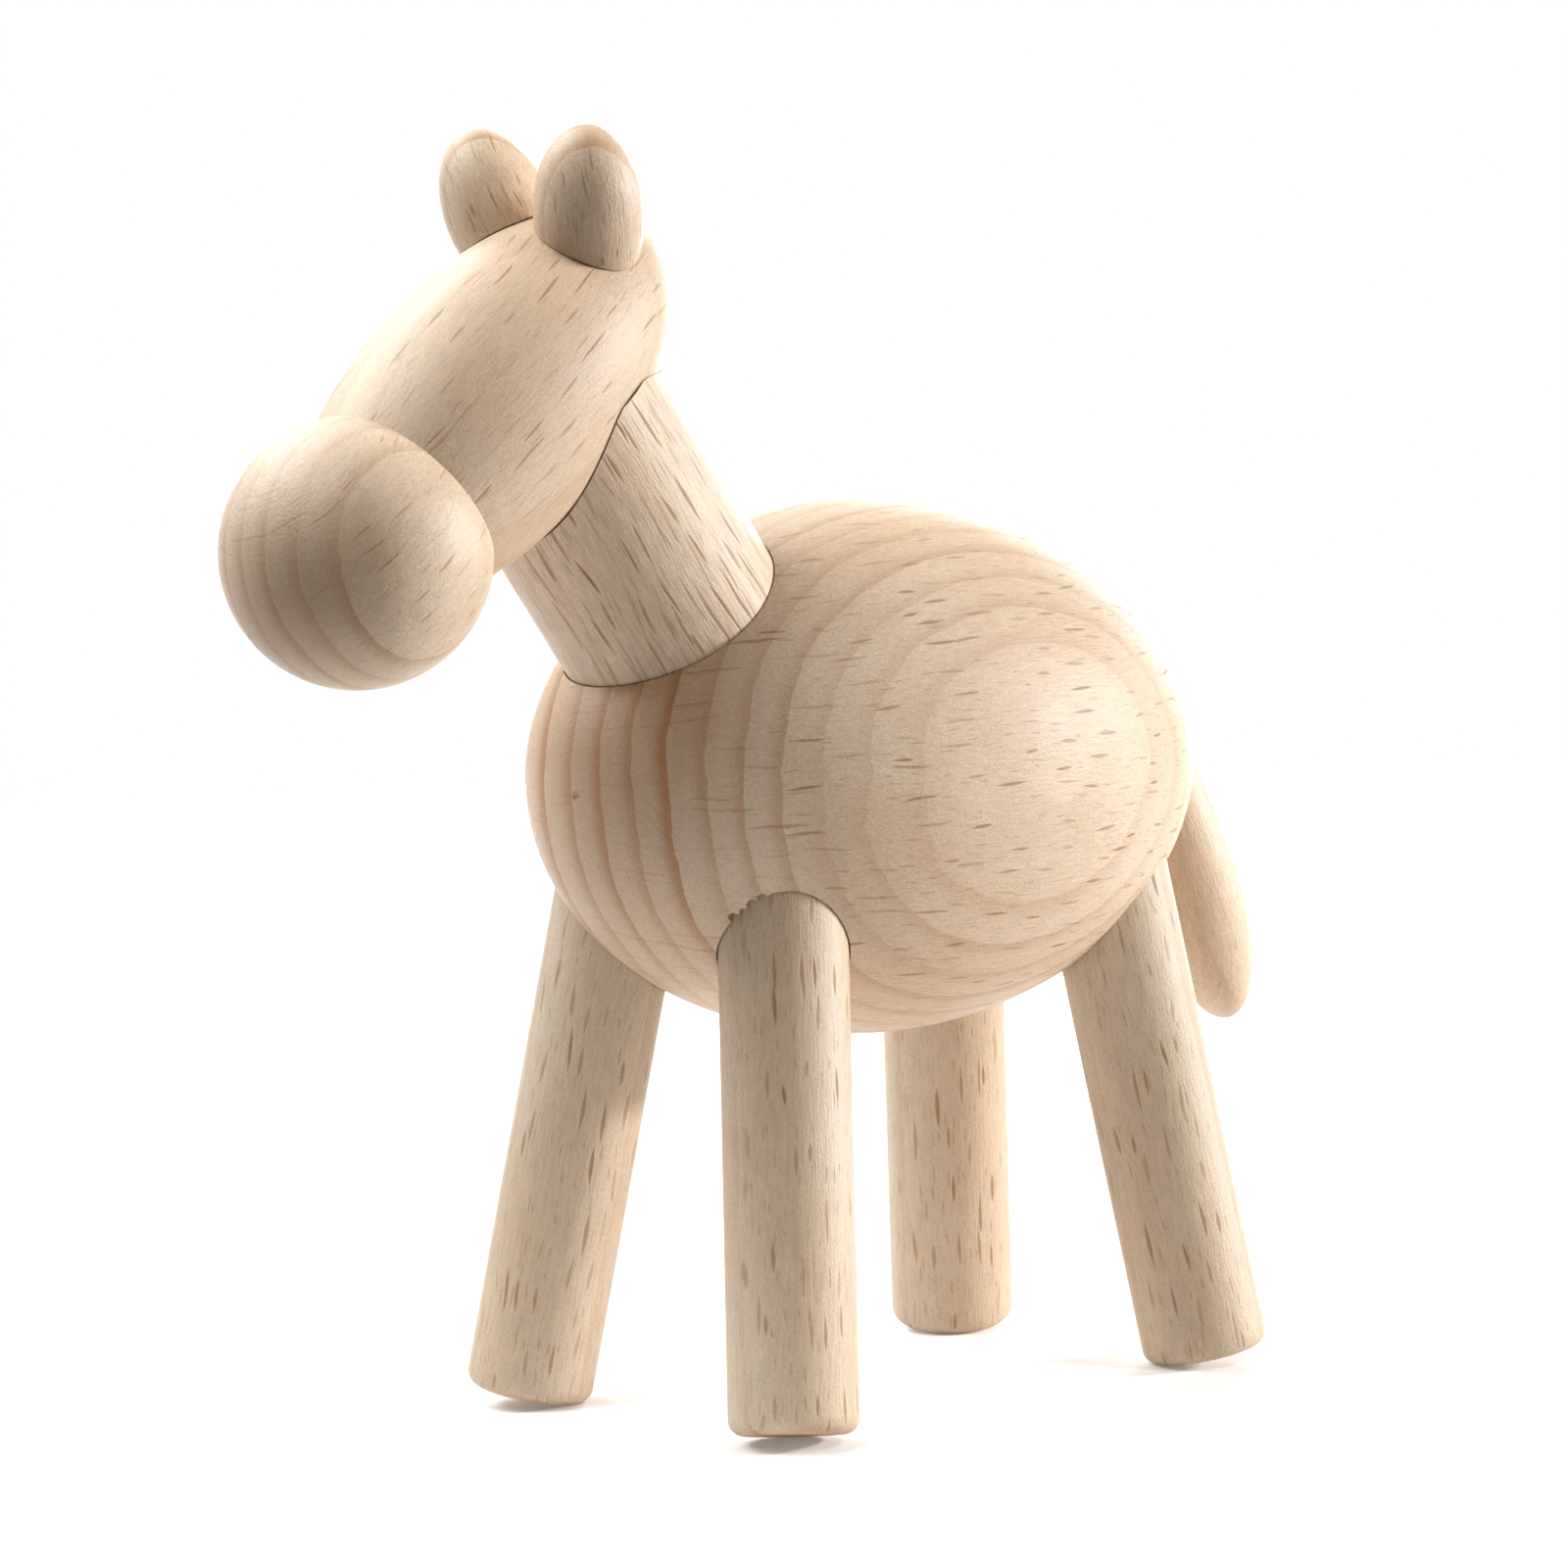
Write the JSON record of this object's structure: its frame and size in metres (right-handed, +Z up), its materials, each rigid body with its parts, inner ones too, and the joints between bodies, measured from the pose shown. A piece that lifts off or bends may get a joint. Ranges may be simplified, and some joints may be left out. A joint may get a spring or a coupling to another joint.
{
  "type": "turned wooden horse figure",
  "caption": "Plain beech horse figure: egg-shaped body on raked dowel legs, thick dowel neck, egg-shaped head with a ball snout, rounded ears and a drop-shaped tail.",
  "frame": {"origin": "on the floor, in the middle of the box that holds the figure", "axes": "+Z up, the horse looks along -Y and its left side is +X"},
  "size_m": [0.0422, 0.1042, 0.0998],
  "materials": {
    "body_beech": "fine sanded, unfinished beech with the growth rings showing as ovals on the flanks",
    "dowel_beech": "sanded, unfinished beech dowel with the grain and dark ray flecks along it",
    "head_beech": "fine sanded, unfinished pale beech with ray flecks along the head",
    "snout_beech": "fine sanded, unfinished beech with close growth rings",
    "small_beech": "fine sanded, unfinished beech with a mottled grain",
    "pin_beech": "plain beech dowel pin, glued and hidden"
  },
  "bodies": {
    "root": {"body": "body_beech", "leg_front_left": "dowel_beech", "leg_front_right": "dowel_beech", "leg_hind_left": "dowel_beech", "leg_hind_right": "dowel_beech", "neck": "dowel_beech", "head": "head_beech", "snout": "snout_beech", "ear_left": "small_beech", "ear_right": "small_beech", "tail": "small_beech", "neck_pin": "pin_beech", "snout_pin": "pin_beech", "ear_pin_left": "pin_beech", "ear_pin_right": "pin_beech", "tail_pin": "pin_beech"}
  },
  "joints": []
}
